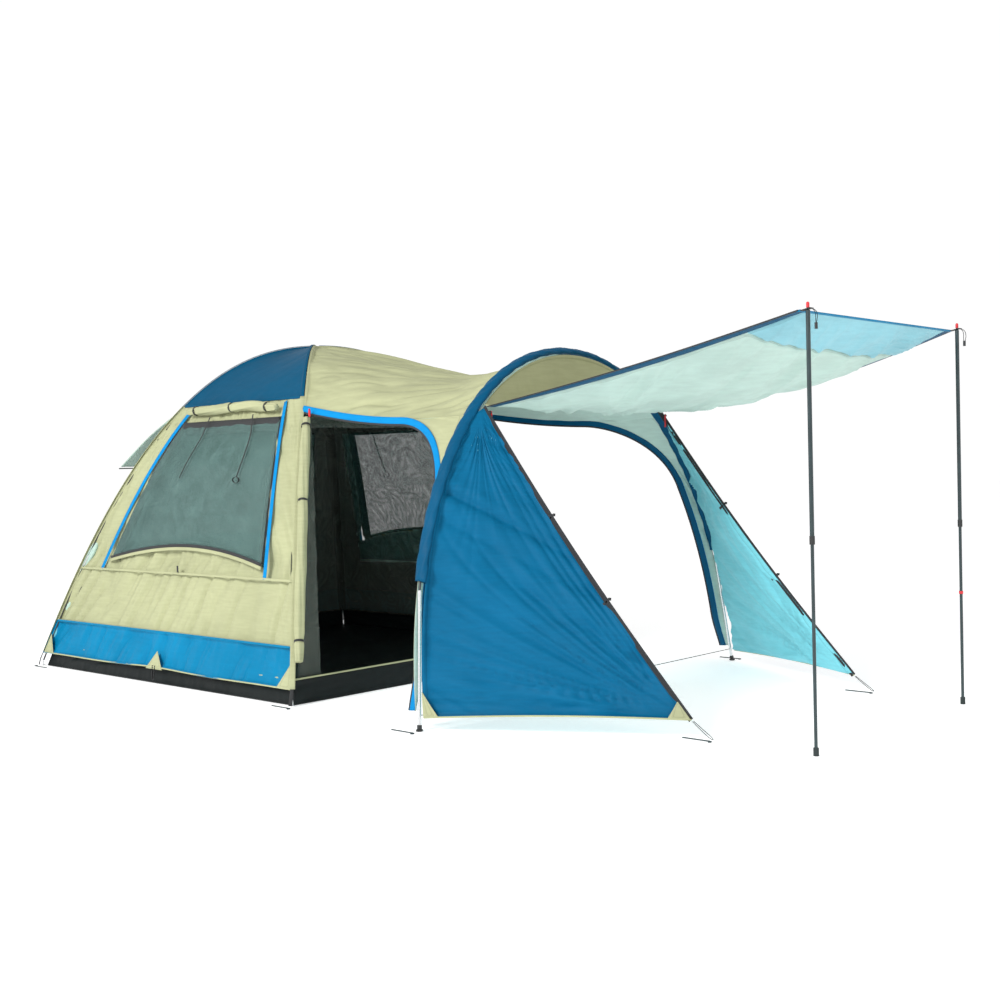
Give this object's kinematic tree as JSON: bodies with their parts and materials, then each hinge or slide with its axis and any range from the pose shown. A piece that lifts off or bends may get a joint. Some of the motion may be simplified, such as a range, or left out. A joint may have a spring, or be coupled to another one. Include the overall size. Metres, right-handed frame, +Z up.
{
  "type": "dome tent with hooped vestibule",
  "caption": "Family tent: square crossed-pole dome, black tub floor, mesh side windows, hooped front vestibule with side wings and a door raised as an awning on two poles.",
  "frame": {"origin": "centre of the underside of the square sleeping floor, on the ground", "axes": "+Z up; -Y towards the vestibule and the awning; +X to the tent's own side, seen from the awning side to the right; the tent is the same on both X sides"},
  "size_m": [2.854, 5.4592, 2.07],
  "materials": {
    "groundsheet": "coated woven polyester, black",
    "inner_cloth": "breathable polyester, dark grey",
    "mesh": "insect mesh",
    "glass_fibre": "pultruded glass fibre, satin",
    "ferrule_steel": "bright steel",
    "silver_tube": "satin tube",
    "black_plastic": "moulded, satin",
    "rubber": "moulded rubber",
    "dark_blue_cloth": "woven polyester",
    "blue_cloth": "woven coated polyester",
    "cream_cloth": "woven coated polyester",
    "trim_cloth": "woven coated polyester",
    "zip": "coil zip",
    "red_webbing": "red trim",
    "webbing": "woven webbing",
    "dark_steel": "powder coated steel tube",
    "cord": "braided cord"
  },
  "bodies": {
    "tent": {"corner_pins": "ferrule_steel", "dome_pole_a": "glass_fibre", "dome_pole_b": "glass_fibre", "fly_wall_left": "cream_cloth", "fly_wall_rear": "cream_cloth", "fly_wall_right": "cream_cloth", "fly_window_mesh": "mesh", "front_arch_panel": "cream_cloth", "front_wings": "blue_cloth", "hood_rod": "glass_fibre", "hoop_base_cord": "cord", "hoop_feet": "black_plastic", "hoop_leg_tubes": "silver_tube", "hoop_pole": "glass_fibre", "hoop_sleeve": "dark_blue_cloth", "inner_front_wall": "inner_cloth", "inner_roof": "mesh", "inner_wall_left": "inner_cloth", "inner_wall_rear": "inner_cloth", "inner_wall_right": "inner_cloth", "inner_window_mesh": "mesh", "mud_flaps": "blue_cloth", "pegs": "ferrule_steel", "pole_ferrules": "ferrule_steel", "rear_hood": "cream_cloth", "roof_rear_panel": "cream_cloth", "roof_side_panels": "blue_cloth", "side_door_rolls": "cream_cloth", "tub_floor": "groundsheet", "tub_walls": "groundsheet", "vestibule_roof": "cream_cloth", "window_rolls": "cream_cloth", "wing_peg_cords": "cord", "wing_zips": "zip"},
    "awning": {"awning_panel": "cream_cloth", "awning_front_band": "trim_cloth", "awning_trim_left": "trim_cloth", "awning_trim_right": "trim_cloth"},
    "pole_head_left": {"corner_tab_left": "webbing", "pole_spike_left": "dark_steel", "pole_cap_left": "red_webbing", "pole_upper_tube_left": "dark_steel", "pole_collar_left": "black_plastic", "pole_cord_left": "cord", "pole_toggle_left": "black_plastic"},
    "pole_lower_left": {"pole_lower_tube_left": "dark_steel", "pole_foot_left": "rubber"},
    "zip_slider_left": {"zip_slider_left": "black_plastic"},
    "zip_pull_left": {"zip_pull_left": "red_webbing"},
    "pole_head_right": {"corner_tab_right": "webbing", "pole_spike_right": "dark_steel", "pole_cap_right": "red_webbing", "pole_upper_tube_right": "dark_steel", "pole_collar_right": "black_plastic", "pole_cord_right": "cord", "pole_toggle_right": "black_plastic"},
    "pole_lower_right": {"pole_lower_tube_right": "dark_steel", "pole_foot_right": "rubber"},
    "zip_slider_right": {"zip_slider_right": "black_plastic"},
    "zip_pull_right": {"zip_pull_right": "red_webbing"}
  },
  "joints": [
    {"name": "awning_swing", "type": "hinge", "parent": "tent", "child": "awning", "pos_m": [0, -2.235, 1.55], "axis": [1, 0, 0], "range_deg": [0, 60]},
    {"name": "pole_fold_left", "type": "hinge", "parent": "awning", "child": "pole_head_left", "pos_m": [-0.733, -4.03549, 1.86595], "axis": [1, 0, 0], "range_deg": [0, 75.5]},
    {"name": "pole_telescope_left", "type": "slide", "parent": "pole_head_left", "child": "pole_lower_left", "axis": [0, 0, 1], "range_m": [0, 0.7]},
    {"name": "zip_slide_left", "type": "slide", "parent": "tent", "child": "zip_slider_left", "axis": [0, -0.6429, -0.766], "range_m": [0, 1.8237]},
    {"name": "zip_pull_swing_left", "type": "hinge", "parent": "zip_slider_left", "child": "zip_pull_left", "pos_m": [-0.7535, -2.27799, 1.52211], "axis": [1, 0, 0], "range_deg": [-60, 60]},
    {"name": "pole_fold_right", "type": "hinge", "parent": "awning", "child": "pole_head_right", "pos_m": [0.733, -4.03549, 1.86595], "axis": [1, 0, 0], "range_deg": [0, 75.5]},
    {"name": "pole_telescope_right", "type": "slide", "parent": "pole_head_right", "child": "pole_lower_right", "axis": [0, 0, 1], "range_m": [0, 0.7]},
    {"name": "zip_slide_right", "type": "slide", "parent": "tent", "child": "zip_slider_right", "axis": [0, -0.6429, -0.766], "range_m": [0, 1.8237]},
    {"name": "zip_pull_swing_right", "type": "hinge", "parent": "zip_slider_right", "child": "zip_pull_right", "pos_m": [0.7535, -2.27799, 1.52211], "axis": [1, 0, 0], "range_deg": [-60, 60]}
  ],
  "couplings": [
    {"joint": "pole_fold_left", "follows": "awning_swing", "ratio": 1.25},
    {"joint": "pole_fold_right", "follows": "awning_swing", "ratio": 1.25}
  ]
}
